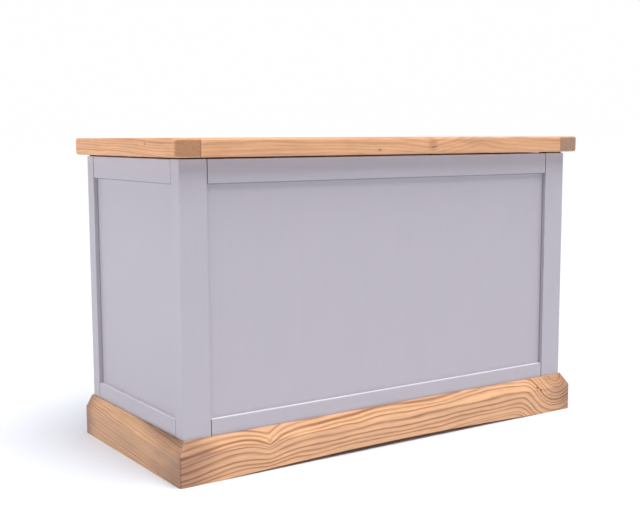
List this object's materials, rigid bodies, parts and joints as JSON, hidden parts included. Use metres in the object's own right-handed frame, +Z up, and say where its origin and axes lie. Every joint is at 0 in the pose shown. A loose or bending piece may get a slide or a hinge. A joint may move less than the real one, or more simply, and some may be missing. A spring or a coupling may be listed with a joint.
{
  "type": "toy box",
  "caption": "Painted frame-and-panel toy chest on a bevelled pine plinth, with a thick hinged pine lid that folding stays hold open.",
  "frame": {"origin": "on the floor, under the middle of the lid, which is the middle of the box's overall footprint", "axes": "+X left to right along the lid's length, +Y front to back, +Z up; the front faces -Y"},
  "size_m": [0.8, 0.37, 0.5],
  "materials": {
    "grey_paint": "satin grey paint on wood",
    "waxed_pine": "antique pine, stained and waxed",
    "raw_pine": "bare planed pine",
    "plywood": "bare sanded birch plywood",
    "beech": "fluted beech dowel",
    "hinge_steel": "brass-plated steel",
    "stay_steel": "zinc-plated steel strip",
    "zinc_steel": "zinc-plated",
    "bumper": "soft dark rubber"
  },
  "bodies": {
    "carcass": {"post_front_left": "grey_paint", "post_front_right": "grey_paint", "post_back_left": "grey_paint", "post_back_right": "grey_paint", "rail_front_top": "grey_paint", "rail_front_bottom": "grey_paint", "panel_front": "grey_paint", "floor_bearer_front": "raw_pine", "rail_back_top": "grey_paint", "rail_back_bottom": "grey_paint", "panel_back": "grey_paint", "floor_bearer_back": "raw_pine", "rail_left_top": "grey_paint", "rail_left_bottom": "grey_paint", "panel_left": "grey_paint", "floor_bearer_left": "raw_pine", "rail_right_top": "grey_paint", "rail_right_bottom": "grey_paint", "panel_right": "grey_paint", "floor_bearer_right": "raw_pine", "floor_panel": "plywood", "frame_dowels": "beech", "bearer_screws": "zinc_steel", "plinth_blocks": "raw_pine", "plinth_screws": "zinc_steel", "plinth_front": "waxed_pine", "plinth_left": "waxed_pine", "plinth_right": "waxed_pine", "hinge_carcass_leaf_left": "hinge_steel", "hinge_pin_left": "hinge_steel", "stay_side_plate_left": "stay_steel", "hinge_carcass_leaf_right": "hinge_steel", "hinge_pin_right": "hinge_steel", "stay_side_plate_right": "stay_steel", "hinge_screws_carcass": "zinc_steel", "stay_screws_side": "zinc_steel", "stay_root_rivets": "zinc_steel", "lid_bumpers": "bumper"},
    "lid": {"lid_board_1": "waxed_pine", "lid_board_2": "waxed_pine", "lid_board_3": "waxed_pine", "lid_board_4": "waxed_pine", "lid_cleat_left": "waxed_pine", "hinge_lid_leaf_left": "hinge_steel", "stay_lid_bracket_left": "stay_steel", "lid_cleat_right": "waxed_pine", "hinge_lid_leaf_right": "hinge_steel", "stay_lid_bracket_right": "stay_steel", "hinge_screws_lid": "zinc_steel", "stay_screws_lid": "zinc_steel", "stay_lid_rivets": "zinc_steel"},
    "lower_arm_left": {"stay_lower_arm_left": "stay_steel", "stay_elbow_rivet_left": "zinc_steel"},
    "upper_arm_left": {"stay_upper_arm_left": "stay_steel"},
    "lower_arm_right": {"stay_lower_arm_right": "stay_steel", "stay_elbow_rivet_right": "zinc_steel"},
    "upper_arm_right": {"stay_upper_arm_right": "stay_steel"}
  },
  "joints": [
    {"name": "lid_hinge", "type": "hinge", "parent": "carcass", "child": "lid", "pos_m": [0, 0.1755, 0.471], "axis": [-1, 0, 0], "range_deg": [0, 95]},
    {"name": "stay_lower_left", "type": "hinge", "parent": "carcass", "child": "lower_arm_left", "pos_m": [-0.361, 0.108, 0.4486], "axis": [-1, 0, 0], "range_deg": [0, 95]},
    {"name": "stay_upper_left", "type": "hinge", "parent": "lid", "child": "upper_arm_left", "pos_m": [-0.3585, 0.06, 0.461], "axis": [-1, 0, 0], "range_deg": [-95, 0]},
    {"name": "stay_lower_right", "type": "hinge", "parent": "carcass", "child": "lower_arm_right", "pos_m": [0.361, 0.108, 0.4486], "axis": [-1, 0, 0], "range_deg": [0, 95]},
    {"name": "stay_upper_right", "type": "hinge", "parent": "lid", "child": "upper_arm_right", "pos_m": [0.3585, 0.06, 0.461], "axis": [-1, 0, 0], "range_deg": [-95, 0]}
  ],
  "couplings": [
    {"joint": "stay_lower_left", "follows": "lid_hinge", "ratio": 1},
    {"joint": "stay_upper_left", "follows": "lid_hinge", "ratio": -1},
    {"joint": "stay_lower_right", "follows": "lid_hinge", "ratio": 1},
    {"joint": "stay_upper_right", "follows": "lid_hinge", "ratio": -1}
  ]
}
